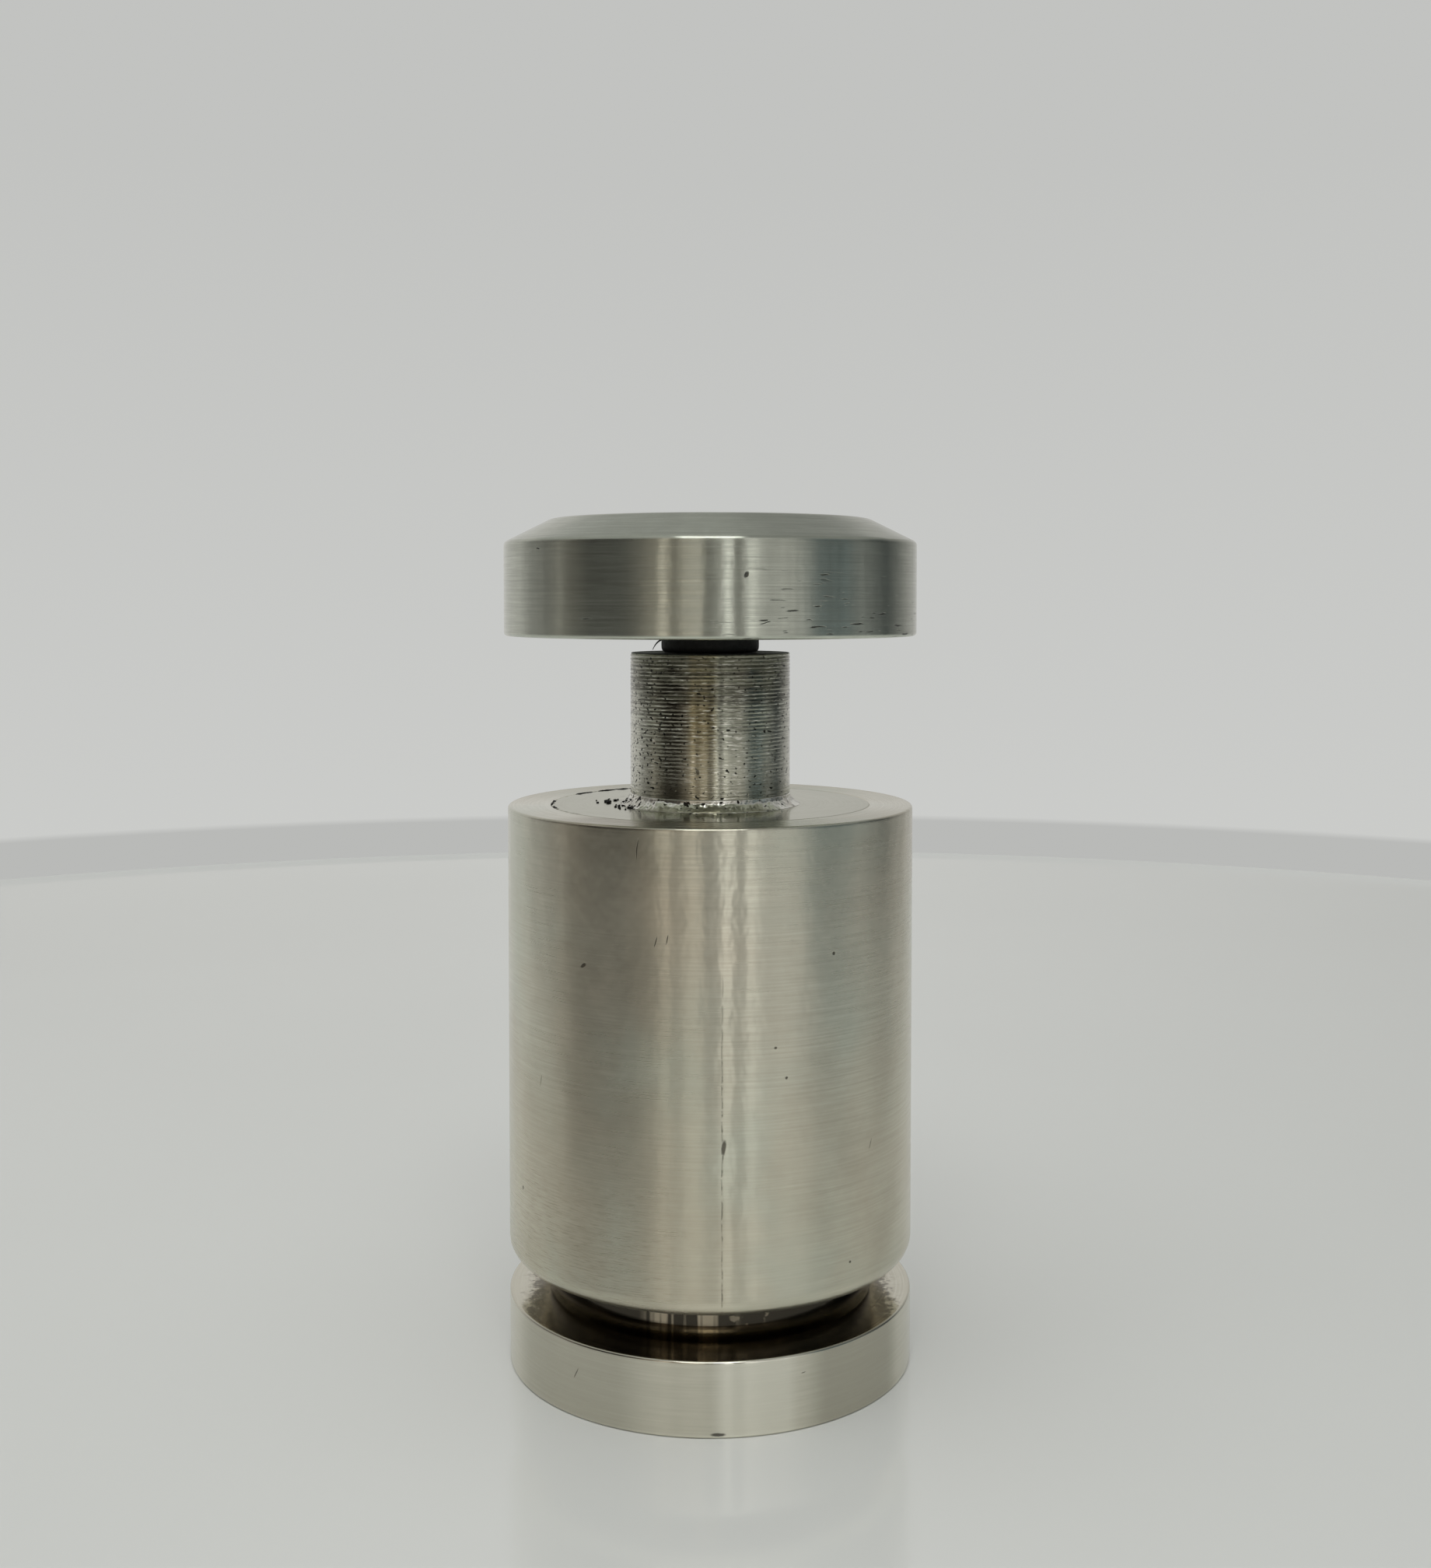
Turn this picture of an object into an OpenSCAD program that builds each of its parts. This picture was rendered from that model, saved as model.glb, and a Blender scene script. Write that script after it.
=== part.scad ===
// Glass stand-off: holds a drilled glass panel away from a wall.
// The wall disc is bolted to the wall, the barrel screws on the disc's spigot to set the
// distance, the hole in the glass goes over the neck, and the cap clamps the glass.
// The origin is the centre of the wall face, and +Z runs outwards along the axis.
// Threads are drawn as plain cylinders at the size of the thread's crests.

/* [Wall base] */
// Outer diameter of the wall disc
disc_d = 50; // [46:1:56]
// Thickness of the wall disc
disc_h = 8.8; // [8:0.1:12]
// Radius of the disc's rounded front rim
disc_round = 0.5; // [0.3:0.1:1.6]
// Diameter of the hole for the wall anchor
anchor_hole_d = 11; // [9:0.5:13]
// Thickness of the web under the anchor's head
web_h = 6; // [4:0.5:7]
// Outer diameter of the spigot's thread
spigot_d = 40; // [38:0.5:42]
// Bore of the spigot, which leaves room for the anchor's head
spigot_bore_d = 24; // [20:1:28]
// Height of the spigot above the wall
spigot_top = 40; // [34:1:42]
// Height above the wall at which the spigot's thread begins
thread_start = 25; // [22:1:28]

/* [Barrel] */
// Outer diameter of the barrel
barrel_d = 50; // [46:1:56]
// Length of the barrel
barrel_h = 55.3; // [54.5:0.1:70]
// Open groove between the wall disc and the barrel, at rest
groove_h = 4.6; // [2:0.1:6]
// Depth of the bore that takes the spigot
bore_depth = 32; // [32:1:36]
// Diameter of the cavity between the bore and the plug
cavity_d = 38; // [30:1:38]
// Radius of the barrel's rounded foot
foot_round = 2.1; // [0.5:0.1:2.5]
// Thickness of the plug in the barrel's front
plug_h = 10; // [8:0.5:12]
// Diameter of the plug
plug_d = 39.4; // [39:0.1:40]
// Height above the wall of the lock screw, at rest
lock_z = 20; // [19:0.5:22]
// Diameter of the lock screw's thread
lock_d = 5; // [4:1:6]

/* [Neck and cap] */
// Diameter of the neck
neck_d = 19.8; // [18:0.1:22]
// Height of the neck above the barrel
neck_h = 18.7; // [16:0.1:24]
// Diameter of the neck's tail inside the plug
tail_d = 14; // [12:0.5:16]
// Width and height of the weld fillet round the neck's foot
weld_leg = 1.4; // [1:0.1:3]
// Gap between the neck and the cap, filled by the cap's ring
ring_gap = 2.1; // [1.6:0.1:3]
// Outer diameter of the cap
cap_d = 50.8; // [46:0.2:56]
// Thickness of the cap
cap_h = 14.3; // [12:0.1:18]
// Height of the bevel round the cap's front
cap_bevel_h = 2.9; // [1:0.1:4]
// Width of the bevel round the cap's front
cap_bevel_w = 5.8; // [1:0.1:6]
// Diameter of the stud's thread
stud_d = 8; // [6:1:10]
// Length of the stud inside the neck, at rest
stud_grip = 21.9; // [18:0.1:24]
// Length of the stud inside the cap
stud_hold = 8; // [6:0.5:9]

/* [Hidden] */
$fn = 96;

// Heights above the wall
barrel_z = disc_h + groove_h;
face_z = barrel_z + barrel_h;
neck_top = face_z + neck_h;
cap_z = neck_top + ring_gap;
cap_top = cap_z + cap_h;

// Clearances between pieces that turn on each other, and a small overshoot for clean cuts
run_gap = 0.05;
seal_gap = 0.06;
cut = 1;

// The spigot's undercut, beside its thread
undercut_h = 1.6;
undercut_t = 1.2;
end_bevel = 0.8;

// The barrel's ring in its groove: cord thickness, groove height, and distance from the foot
seal_cord = 1.44;
seal_groove_h = seal_cord + 2 * seal_gap;
seal_up = 1.9;
seal_r = spigot_d / 2 + seal_gap + seal_cord / 2;
edge_round = 0.4;
joint_bevel = 0.25;

// The lock screw: its tip clears the spigot, and its socket is a hexagon
lock_tip = spigot_d / 2 + 2 * run_gap;
lock_head_sink = 0.3;
lock_socket_share = 0.29;
lock_socket_r = lock_d * lock_socket_share;
lock_socket_depth = 2.2;
hexagon_sides = 6;

cap_cord = ring_gap - 2 * run_gap;
cap_ring_r = stud_d / 2 + run_gap + cap_cord / 2;
cap_edge = 0.35;
neck_edge = 0.3;
weld_tip = 0.15;
weld_crown = 0.62;
stud_tip_bevel = 0.9;
hole_end = 0.5;
cord_facets = 32;

// A ring with a round cross-section
module ring(centre_r, cord_d, z) {
    translate([0, 0, z])
        rotate_extrude()
            translate([centre_r, 0])
                circle(d = cord_d, $fn = cord_facets);
}

// A round solid turned from its half outline
module turned(outline) {
    rotate_extrude()
        polygon(outline);
}

// Half outline of a quarter round at the outer front edge (r, z), from the side to the face
function front_round(r, z, size, steps = 8) = [
    for (i = [0 : steps])
        [r - size + size * cos(90 * i / steps), z - size + size * sin(90 * i / steps)]
];

// The same at the outer back edge (r, z), from the face to the side
function back_round(r, z, size, steps = 8) = [
    for (i = [0 : steps])
        [r - size + size * sin(90 * i / steps), z + size - size * cos(90 * i / steps)]
];

module wall_disc() {
    color("#c4c1ba")
        difference() {
            turned(concat(
                [[0, 0], [disc_d / 2, 0]],
                front_round(disc_d / 2, disc_h, disc_round),
                [[0, disc_h]]
            ));
            // Hole for the wall anchor
            translate([0, 0, -cut])
                cylinder(d = anchor_hole_d, h = web_h + 2 * cut);
            // Seat that the spigot is pressed into
            translate([0, 0, web_h])
                cylinder(d = spigot_d - 2 * undercut_t, h = disc_h);
        }
}

module threaded_spigot() {
    neck_r = spigot_d / 2 - undercut_t;
    color("#6d6a64")
        difference() {
            union() {
                // Foot inside the wall disc, and the plain land above it
                translate([0, 0, web_h])
                    cylinder(r = neck_r, h = disc_h - web_h);
                translate([0, 0, disc_h])
                    cylinder(d = spigot_d, h = thread_start - disc_h);
                // Undercut between the land and the thread
                translate([0, 0, thread_start])
                    cylinder(r = neck_r, h = undercut_h);
                translate([0, 0, thread_start + undercut_h])
                    cylinder(d = spigot_d, h = spigot_top - end_bevel - thread_start - undercut_h);
                translate([0, 0, spigot_top - end_bevel])
                    cylinder(r1 = spigot_d / 2, r2 = spigot_d / 2 - end_bevel, h = end_bevel);
            }
            translate([0, 0, web_h - cut])
                cylinder(d = spigot_bore_d, h = spigot_top);
        }
}

module barrel_o_ring() {
    color("#161616")
        ring(seal_r, seal_cord, barrel_z + seal_up + seal_groove_h / 2);
}

module barrel_tube() {
    r = barrel_d / 2;
    color("#b3ada2")
        difference() {
            turned(concat(
                [[0, barrel_z]],
                back_round(r, barrel_z, foot_round),
                front_round(r, face_z, edge_round),
                [[0, face_z]]
            ));
            // Bore that runs on the spigot, the cavity above it, and the plug's seat
            translate([0, 0, barrel_z - cut])
                cylinder(r = spigot_d / 2 + run_gap, h = bore_depth + cut);
            translate([0, 0, barrel_z])
                cylinder(d = cavity_d, h = barrel_h - plug_h + cut / 2);
            translate([0, 0, face_z - plug_h])
                cylinder(d = plug_d, h = plug_h + cut);
            // Groove for the barrel's ring
            translate([0, 0, barrel_z + seal_up])
                cylinder(r = seal_r + seal_cord / 2 + seal_gap, h = seal_groove_h);
            // Tapped hole for the lock screw
            translate([0, spigot_d / 2 - cut, lock_z])
                rotate([-90, 0, 0])
                    cylinder(d = lock_d, h = r);
        }
}

module front_plug() {
    color("#b3ada2")
        difference() {
            translate([0, 0, face_z - plug_h])
                union() {
                    cylinder(d = plug_d, h = plug_h - joint_bevel);
                    translate([0, 0, plug_h - joint_bevel])
                        cylinder(r1 = plug_d / 2, r2 = plug_d / 2 - joint_bevel, h = joint_bevel);
                }
            translate([0, 0, face_z - plug_h - cut])
                cylinder(d = tail_d, h = plug_h + 2 * cut);
        }
}

module neck_post() {
    color("#8f8b84")
        difference() {
            union() {
                translate([0, 0, face_z - plug_h])
                    cylinder(d = tail_d, h = plug_h);
                translate([0, 0, face_z])
                    cylinder(d = neck_d, h = neck_h - neck_edge);
                translate([0, 0, neck_top - neck_edge])
                    cylinder(r1 = neck_d / 2, r2 = neck_d / 2 - neck_edge, h = neck_edge);
            }
            // Tapped hole for the cap's stud
            translate([0, 0, neck_top - stud_grip - hole_end])
                cylinder(r = stud_d / 2 + run_gap, h = stud_grip + hole_end + cut);
        }
}

module neck_weld() {
    inner_r = neck_d / 2;
    color("#d2cfc8")
        difference() {
            // Fillet with a slightly crowned face
            turned([
                [0, face_z],
                [inner_r + weld_leg, face_z],
                [inner_r + weld_leg * weld_crown, face_z + weld_leg / 2],
                [inner_r + weld_tip, face_z + weld_leg],
                [0, face_z + weld_leg]
            ]);
            translate([0, 0, face_z - cut])
                cylinder(r = inner_r, h = weld_leg + 2 * cut);
        }
}

module lock_screw() {
    length = barrel_d / 2 - lock_head_sink - lock_tip;
    color("#3a3a3c")
        translate([0, lock_tip, lock_z])
            rotate([-90, 0, 0])
                difference() {
                    cylinder(d = lock_d, h = length);
                    translate([0, 0, length - lock_socket_depth])
                        cylinder(r = lock_socket_r, h = lock_socket_depth + cut, $fn = hexagon_sides);
                }
}

module cap_o_ring() {
    color("#0e0e0e")
        ring(cap_ring_r, cap_cord, neck_top + ring_gap / 2);
}

module cap_disc() {
    r = cap_d / 2;
    color("#a9a9ab")
        difference() {
            turned([
                [0, cap_z],
                [r - cap_edge, cap_z],
                [r, cap_z + cap_edge],
                [r, cap_top - cap_bevel_h],
                [r - cap_bevel_w, cap_top],
                [0, cap_top]
            ]);
            // Blind tapped hole that the stud is fixed in
            translate([0, 0, cap_z - cut])
                cylinder(d = stud_d, h = stud_hold + cut);
        }
}

module cap_stud() {
    length = stud_grip + ring_gap + stud_hold;
    color("#8f8b84")
        translate([0, 0, neck_top - stud_grip])
            union() {
                cylinder(r1 = stud_d / 2 - stud_tip_bevel, r2 = stud_d / 2, h = stud_tip_bevel);
                translate([0, 0, stud_tip_bevel])
                    cylinder(d = stud_d, h = length - stud_tip_bevel);
            }
}

wall_disc();
threaded_spigot();
barrel_o_ring();
barrel_tube();
front_plug();
neck_post();
neck_weld();
lock_screw();
cap_o_ring();
cap_disc();
cap_stud();
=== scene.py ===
"""Looks of the glass stand-off: turned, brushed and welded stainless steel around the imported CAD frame."""

import math
import random

import bmesh
import bpy
from mathutils import Matrix, Vector, noise


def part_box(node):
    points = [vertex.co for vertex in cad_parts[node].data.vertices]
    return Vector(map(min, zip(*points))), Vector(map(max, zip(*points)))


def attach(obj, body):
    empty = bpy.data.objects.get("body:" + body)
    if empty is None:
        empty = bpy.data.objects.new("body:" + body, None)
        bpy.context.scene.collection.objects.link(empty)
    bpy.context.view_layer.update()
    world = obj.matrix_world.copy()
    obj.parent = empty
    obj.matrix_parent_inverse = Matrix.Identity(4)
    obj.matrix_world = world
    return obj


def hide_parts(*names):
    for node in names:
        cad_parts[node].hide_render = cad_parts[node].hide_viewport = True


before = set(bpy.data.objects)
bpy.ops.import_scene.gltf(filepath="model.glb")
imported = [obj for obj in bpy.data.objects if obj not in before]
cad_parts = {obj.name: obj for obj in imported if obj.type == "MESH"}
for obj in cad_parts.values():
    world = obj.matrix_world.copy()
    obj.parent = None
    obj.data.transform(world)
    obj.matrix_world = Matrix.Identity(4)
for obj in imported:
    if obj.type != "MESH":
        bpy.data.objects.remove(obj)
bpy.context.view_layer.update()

MM = 0.001
TURN = 2 * math.pi
SEGMENTS = 256  # faces round a turned piece, where nothing finer is needed
ON_AXIS = 1e-7  # a radius below this is on the axis
ON_WALL = 0.02 * MM  # a point this close to a wall's radius lies on it
SHARP_EDGE = math.radians(35)  # an edge that turns by more than this is shaded sharp

# Camera: level with the cap, looking along +Y and slightly down, in metres, degrees and mm of lens
CAMERA_DISTANCE = 0.2188
CAMERA_HEIGHT = 0.094
CAMERA_PITCH = 2.44
CAMERA_LENS = 40.53
CAMERA_SHIFT_X = 0.0034
CAMERA_SHIFT_Y = -0.07

# Room: a round pale table with a wall all round, open at the top, with the glowing wall's brightness: painted
# light, and painted shade in a darker band at its foot
ROOM_RADIUS = 0.44
ROOM_HEIGHT = 0.36
COVE_RADIUS = 0.012
WALL_LOW = 0.60
WALL_HIGH = 0.545
WALL_FOOT_SHADE = 0.49
WALL_FOOT_HEIGHT = 0.0115
WALL_FADE_HEIGHT = 0.7 * ROOM_HEIGHT

# Light: the sky's brightness on both sides, a lamp's bright patch in it above the camera, and a soft panel.
# The patch is measured in parts of a direction: half its width, then its lower and its upper edge.
SKY_LEFT = 0.45
SKY_RIGHT = 0.30
LAMP_GLOW = 3.0
LAMP_HALF_WIDTH = 0.23
LAMP_LOW = 0.68
LAMP_HIGH = 0.88
PANEL_ENERGY = 0.75
PANEL_SIZE = 0.5
PANEL_PLACE = Vector((-0.05, -0.12, 0.6))
PANEL_AIM = Vector((0, 0, 0.05))

# Surround: what the steel reflects, 0 towards the camera and 90 to the right: (degrees, level, warmth).
# The flag is a darker belt across its front, between two heights.
SURROUND_RADIUS = 0.425
SURROUND_TOP = 0.355
SURROUND_GAIN = 1.03
FLAG_LOW = 0.145
FLAG_HIGH = 0.205
FLAG_SOFT = 0.025
FLAG_LEVEL = 0.28
WARM = (1.0, 0.88, 0.72)
PLAIN = (1.0, 0.99, 0.96)
COOL = (0.76, 0.94, 1.0)
SURROUND = [
    (-180, 0.60, 0.0), (-125, 0.50, 0.0), (-112, 0.33, 0.0), (-95, 0.21, 0.2), (-87, 0.30, 0.4),
    (-78, 0.13, 0.7), (-67, 0.03, 1.0), (-48, 0.03, 1.0), (-39, 0.11, 1.0), (-28, 0.36, 0.9),
    (-24, 0.95, 0.7), (-20.5, 0.28, 1.0), (-17, 0.24, 1.0), (-12, 0.60, 0.7), (-6, 0.62, 0.6),
    (-2, 0.15, 0.8), (2, 0.20, 0.4), (6, 0.50, 0.2), (8, 1.25, 0.0), (10, 1.30, 0.0),
    (12.5, 0.28, 0.3), (16, 0.20, 0.3), (20, 1.12, 0.0), (22, 1.10, 0.0), (26, 0.60, 0.0),
    (44, 0.60, 0.0), (60, 0.19, -0.9), (76, 0.19, -1.0), (87, 0.26, -0.3), (110, 0.08, -0.7),
    (140, 0.38, 0.0), (180, 0.60, 0.0)]


# ---------------------------------------------------------------- sizes from the CAD frame

def radius_of(node):
    """Outer radius of a round CAD node."""
    low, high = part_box(node)
    return max(high.x, high.y, -low.x, -low.y)


def span_of(node):
    """Lowest and highest point of a CAD node."""
    low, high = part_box(node)
    return low.z, high.z


# ---------------------------------------------------------------- turned meshes

def rounded(corners, steps=6):
    """Outline of (r, z) points from corners (r, z, rounding), all in metres."""
    outline = []
    count = len(corners)
    for i, (r, z, size) in enumerate(corners):
        here = Vector((r, z))
        if size <= 0:
            outline.append(here)
            continue
        before = Vector(corners[i - 1][:2]) - here
        after = Vector(corners[(i + 1) % count][:2]) - here
        half = before.angle(after) / 2
        reach = min(size / math.tan(half), before.length * 0.49, after.length * 0.49)
        size = reach * math.tan(half)
        start = here + before.normalized() * reach
        end = here + after.normalized() * reach
        middle = here + (before.normalized() + after.normalized()).normalized() * (size / math.sin(half))
        from_angle = math.atan2(start.y - middle.y, start.x - middle.x)
        sweep = math.atan2(end.y - middle.y, end.x - middle.x) - from_angle
        sweep = (sweep + math.pi) % TURN - math.pi
        for k in range(steps + 1):
            angle = from_angle + sweep * k / steps
            outline.append(middle + Vector((math.cos(angle), math.sin(angle))) * size)
    return outline


def with_supports(outline, gap=0.15 * MM):
    """Adds points close to both ends of each long stretch, so that shading turns only at the edges."""
    result = []
    count = len(outline)
    for i, here in enumerate(outline):
        following = outline[(i + 1) % count]
        result.append(here)
        stretch = following - here
        if stretch.length > 4 * gap:
            step = stretch.normalized() * gap
            result += [here + step, following - step]
    return result


def divided(start, end, count):
    """Points between start and end, without either end."""
    a, b = Vector(start), Vector(end)
    return [a.lerp(b, k / count) for k in range(1, count)]


def placed(name, data):
    """New object in the scene."""
    thing = bpy.data.objects.new(name, data)
    bpy.context.scene.collection.objects.link(thing)
    return thing


def turn(name, outline, segments=SEGMENTS, shape=None):
    """Solid turned round the Z axis from a closed (r, z) outline. shape(r, z, angle) may move a point."""
    mesh = bpy.data.meshes.new(name)
    builder = bmesh.new()
    rings = []
    for point in outline:
        r, z = point[0], point[1]
        if r < ON_AXIS:
            rings.append([builder.verts.new((0, 0, z))])
            continue
        ring = []
        for k in range(segments):
            angle = TURN * k / segments
            rr, zz = shape(r, z, angle) if shape else (r, z)
            ring.append(builder.verts.new((rr * math.cos(angle), rr * math.sin(angle), zz)))
        rings.append(ring)
    for first, second in zip(rings, rings[1:] + rings[:1]):
        if len(first) == 1 and len(second) == 1:
            continue
        for k in range(segments):
            face = []
            for ring, i in ((first, k), (first, k + 1), (second, k + 1), (second, k)):
                corner = ring[i % len(ring)]
                if corner not in face:
                    face.append(corner)
            builder.faces.new(face).smooth = True
    bmesh.ops.recalc_face_normals(builder, faces=builder.faces)
    builder.to_mesh(mesh)
    builder.free()
    return placed(name, mesh)


def lay_back(piece, y, z):
    """Lays a piece that was made along +Z down along +Y, with its start at y and its axis at height z."""
    piece.data.transform(Matrix.Translation((0, y, z)) @ Matrix.Rotation(-math.pi / 2, 4, "X"))


def thread_shape(crest, depth, pitch, z_low, z_high, fade):
    """shape() of a right-hand thread between two heights that runs out over fade at both ends."""
    flank = 2.6
    root_flat = 0.12

    def shape(r, z, angle):
        if abs(r - crest) > ON_WALL or not z_low < z < z_high:
            return r, z
        phase = (z / pitch - angle / TURN) % 1
        height = min(1, max(0, abs(phase - 0.5) * flank - root_flat))
        runout = min(1, (z - z_low) / fade, (z_high - z) / fade)
        return r - depth * (1 - height) * max(0, runout), z
    return shape


def finish_piece(piece, body, slot, material, *nodes):
    """Puts a piece on its body, in place of its CAD nodes, with its material. The slot argument is not used.
    """
    piece.data.materials.append(material)
    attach(piece, body)
    if nodes:
        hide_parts(*nodes)
    return piece


# ---------------------------------------------------------------- materials

class Nodes:
    """Short names for building a node material."""

    def __init__(self, name):
        self.material = bpy.data.materials.new(name)
        self.material.use_nodes = True
        self.tree = self.material.node_tree
        self.shader = self.tree.nodes["Principled BSDF"]
        self.place = self.add("ShaderNodeTexCoord").outputs["Object"]

    def add(self, kind, **values):
        node = self.tree.nodes.new(kind)
        for key, value in values.items():
            setattr(node, key, value)
        return node

    def link(self, source, target):
        self.tree.links.new(source, target)

    def scaled(self, x, y, z, source=None):
        mapping = self.add("ShaderNodeMapping")
        mapping.inputs["Scale"].default_value = (x, y, z)
        self.link(source or self.place, mapping.inputs["Vector"])
        return mapping.outputs["Vector"]

    def noise(self, vector, scale, detail, rough):
        node = self.add("ShaderNodeTexNoise")
        self.link(vector, node.inputs["Vector"])
        node.inputs["Scale"].default_value = scale
        node.inputs["Detail"].default_value = detail
        node.inputs["Roughness"].default_value = rough
        return node.outputs["Fac"]

    def remap(self, source, low, high, to_low=0.0, to_high=1.0, smooth=False):
        node = self.add("ShaderNodeMapRange")
        node.interpolation_type = "SMOOTHSTEP" if smooth else "LINEAR"
        self.link(source, node.inputs["Value"])
        for key, value in (("From Min", low), ("From Max", high), ("To Min", to_low), ("To Max", to_high)):
            node.inputs[key].default_value = value
        return node.outputs["Result"]

    def math(self, operation, first, second=None):
        node = self.add("ShaderNodeMath", operation=operation)
        for socket, value in zip(node.inputs, (first, second)):
            if value is None:
                continue
            if isinstance(value, (int, float)):
                socket.default_value = value
            else:
                self.link(value, socket)
        return node.outputs["Value"]

    def times(self, first, second):
        return self.math("MULTIPLY", first, second)

    def plus(self, first, second):
        return self.math("ADD", first, second)

    def either(self, first, second):
        return self.math("MAXIMUM", first, second)

    def mix(self, factor, first, second):
        node = self.add("ShaderNodeMix", data_type="RGBA")
        self.link(factor, node.inputs["Factor"])
        for socket, value in ((node.inputs[6], first), (node.inputs[7], second)):
            if isinstance(value, tuple):
                socket.default_value = (*value, 1)
            else:
                self.link(value, socket)
        return node.outputs[2]

    def bump(self, height, distance, normal=None):
        node = self.add("ShaderNodeBump")
        node.inputs["Distance"].default_value = distance
        node.inputs["Strength"].default_value = 1.0
        self.link(height, node.inputs["Height"])
        if normal is not None:
            self.link(normal, node.inputs["Normal"])
        return node.outputs["Normal"]

    def axes(self):
        node = self.add("ShaderNodeSeparateXYZ")
        self.link(self.place, node.inputs[0])
        return node.outputs

    def along(self, value, scale):
        """Vector that changes only with one value."""
        node = self.add("ShaderNodeCombineXYZ")
        self.link(self.times(value, scale), node.inputs[0])
        return node.outputs[0]

    def round_place(self, around, across):
        """Place for marks that run round the axis, on side walls and on flat faces alike."""
        x, y, z = self.axes()
        node = self.add("ShaderNodeCombineXYZ")
        self.link(x, node.inputs[0])
        self.link(y, node.inputs[1])
        self.link(self.math("SUBTRACT", z, self.distance_from_axis()), node.inputs[2])
        return self.scaled(around, around, across, node.outputs[0])

    def distance_from_axis(self):
        x, y, _ = self.axes()
        return self.math("SQRT", self.plus(self.times(x, x), self.times(y, y)))

    def azimuth(self):
        """Direction round the axis: 0 on the camera's side, growing to the right."""
        x, y, _ = self.axes()
        return self.math("ARCTAN2", x, self.times(y, -1.0))

    def stretch_shine(self, amount):
        """Stretches the shine across marks that run round the axis."""
        self.shader.inputs["Anisotropic"].default_value = amount
        self.shader.inputs["Anisotropic Rotation"].default_value = 0.25
        tangent = self.add("ShaderNodeTangent", direction_type="RADIAL", axis="Z")
        self.link(tangent.outputs["Tangent"], self.shader.inputs["Tangent"])


def brushed(m, colour, dark, roughness, anisotropy, lines=3600, line_bump=0.003, blotch=60.0, wave=0.02):
    """Steel brushed round its axis: colour, roughness and normal of fine lines, dashes and soft blotches."""
    rings = m.noise(m.round_place(10, lines), 1.0, 3.0, 0.6)
    dashes = m.noise(m.round_place(130, lines * 1.3), 1.0, 2.0, 0.5)
    patches = m.noise(m.scaled(1, 1, 0.6), blotch, 3.0, 0.55)
    mottle = m.noise(m.scaled(1, 1, 1.6), blotch * 7, 3.0, 0.6)
    swell = m.noise(m.scaled(1, 1, 0.55), 230, 3.0, 0.55)
    lined = m.plus(m.times(rings, 0.5), m.times(dashes, 0.5))
    base = m.mix(m.remap(lined, 0.34, 0.64), dark, colour)
    base = m.mix(m.remap(patches, 0.2, 0.8, 0.5, 0.0, smooth=True), base, dark)
    base = m.mix(m.remap(mottle, 0.25, 0.75, 0.4, 0.0, smooth=True), base, dark)
    uneven = m.plus(m.times(patches, 0.5), m.times(dashes, 0.5))
    rough = m.remap(uneven, 0.25, 0.75, roughness * 1.3, roughness * 0.7)
    m.shader.inputs["Metallic"].default_value = 1.0
    m.stretch_shine(anisotropy)
    return base, rough, m.bump(lined, line_bump * MM, m.bump(swell, wave * MM))


def finish_material(m, base, rough, normal):
    """Links a material's colour, roughness and normal, and gives the material back."""
    m.link(base, m.shader.inputs["Base Color"])
    m.link(rough, m.shader.inputs["Roughness"])
    m.link(normal, m.shader.inputs["Normal"])
    return m.material


def unrolled(m, radius, wobble):
    """Place on a side wall rolled out flat, x the length round and y the height, shaken by wobble."""
    angle = m.azimuth()
    flat = m.add("ShaderNodeCombineXYZ")
    m.link(m.times(angle, radius), flat.inputs[0])
    m.link(m.axes()[2], flat.inputs[1])
    shake = m.noise(m.scaled(1, 1, 1), 1500, 2.0, 0.6)
    shift = m.remap(shake, 0.0, 1.0, -wobble, wobble)
    moved = m.add("ShaderNodeVectorMath", operation="ADD")
    m.link(flat.outputs[0], moved.inputs[0])
    m.link(shift, moved.inputs[1])
    return moved.outputs[0], angle


def marks_mask(m, place, radius, marks):
    """Mask of small marks on a side wall, each (degrees round, height, tilt, length, width), sizes in mm."""
    mask = None
    for degrees, height, tilt, length, width in marks:
        spot = m.add("ShaderNodeMapping", vector_type="TEXTURE")
        spot.inputs["Location"].default_value = (math.radians(degrees) * radius, height * MM, 0)
        spot.inputs["Rotation"].default_value = (0, 0, math.radians(tilt))
        spot.inputs["Scale"].default_value = (length / 2 * MM, width / 2 * MM, 1)
        m.link(place, spot.inputs["Vector"])
        size = m.add("ShaderNodeVectorMath", operation="LENGTH")
        m.link(spot.outputs["Vector"], size.inputs[0])
        one = m.remap(size.outputs["Value"], 0.6, 1.0, 1.0, 0.0)
        mask = one if mask is None else m.either(mask, one)
    return mask


def between(m, source, low, high, soft):
    """1 where source lies between low and high, falling to 0 over soft on both sides."""
    rise = m.remap(source, low - soft, low, smooth=True)
    fall = m.remap(source, high, high + soft, 1.0, 0.0, smooth=True)
    return m.times(rise, fall)


def sector(m, angle, low, high, soft):
    """1 between two directions in degrees, falling to 0 over soft, in radians, on both sides."""
    return between(m, angle, math.radians(low), math.radians(high), soft)


def pits(m, stretch, scale, low, high, where=None):
    """Mask of small dark pits: peaks of a noise, stretched round the axis."""
    around, up = stretch
    field = m.noise(m.scaled(around, around, up), scale, 1.0, 0.4)
    mask = m.remap(field, low, high)
    return m.times(mask, where) if where is not None else mask


def sunk(m, normal, mask, depth):
    """Normal with the masked marks pressed in by depth, in mm."""
    return m.bump(m.times(mask, -1.0), depth * MM, normal)


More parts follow.
